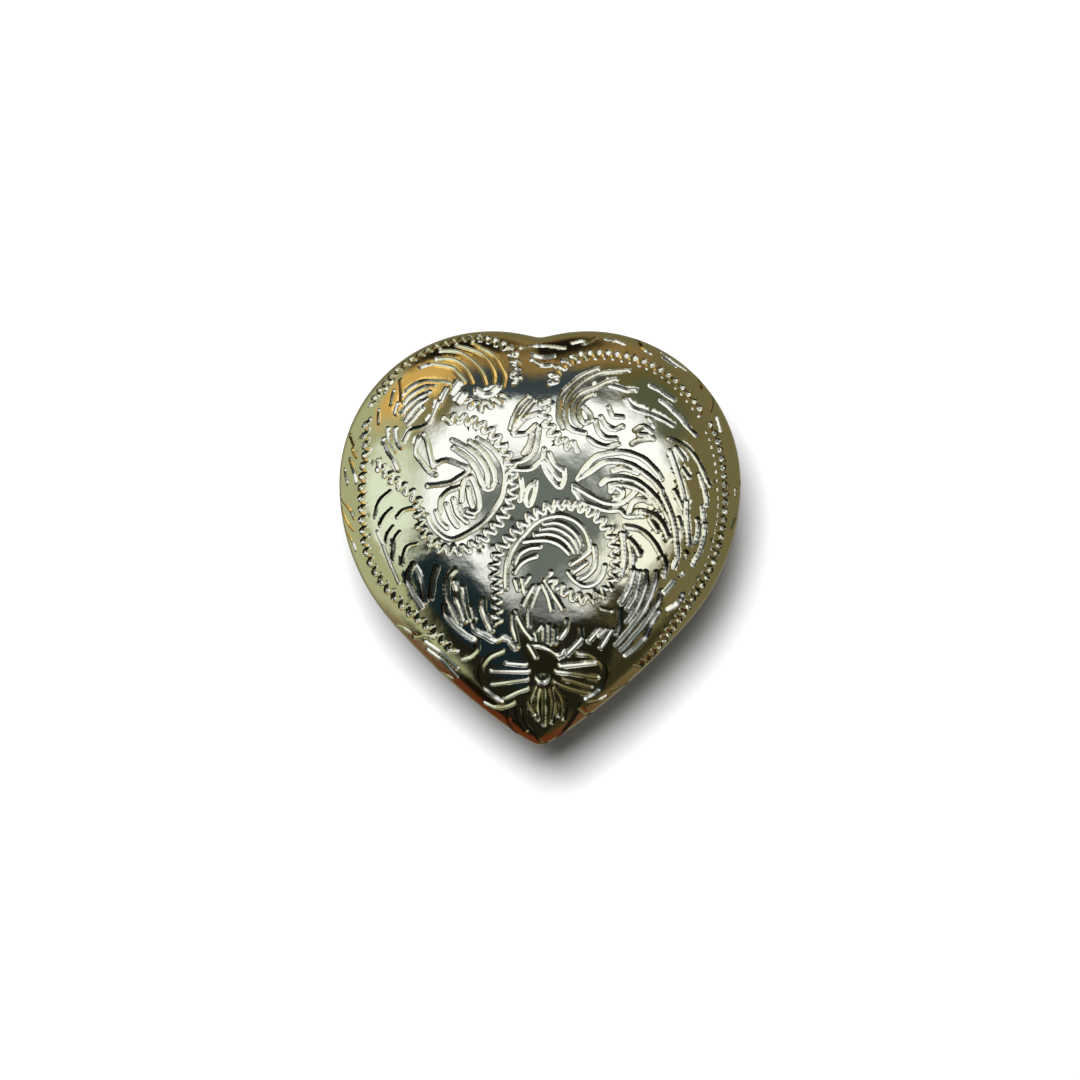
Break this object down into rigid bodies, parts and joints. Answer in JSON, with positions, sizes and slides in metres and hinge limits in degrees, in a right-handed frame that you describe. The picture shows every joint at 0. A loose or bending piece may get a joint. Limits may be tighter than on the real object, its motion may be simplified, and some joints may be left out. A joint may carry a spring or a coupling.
{
  "type": "heart concho",
  "caption": "Engraved domed heart concho in polished plated metal, with a back plate, a threaded post through the leather and a slotted clamp screw.",
  "frame": {"origin": "on the threaded post's axis, in the plane of the crimped rim that sits on the leather", "axes": "+Z out of the domed face, +Y towards the heart's cleft, -Y towards its tip, +X to the right of someone facing the dome"},
  "size_m": [0.03, 0.0309, 0.0123],
  "materials": {
    "engraved_plate": "polished",
    "back_steel": "satin",
    "post_brass": "satin",
    "screw_steel": "polished"
  },
  "bodies": {
    "concho": {"face_shell": "engraved_plate", "back_plate": "back_steel", "threaded_post": "post_brass"},
    "screw": {"screw": "screw_steel"}
  },
  "joints": [
    {"name": "screw_travel", "type": "slide", "parent": "concho", "child": "screw", "axis": [0, 0, -1], "range_m": [0, 0.01]}
  ]
}
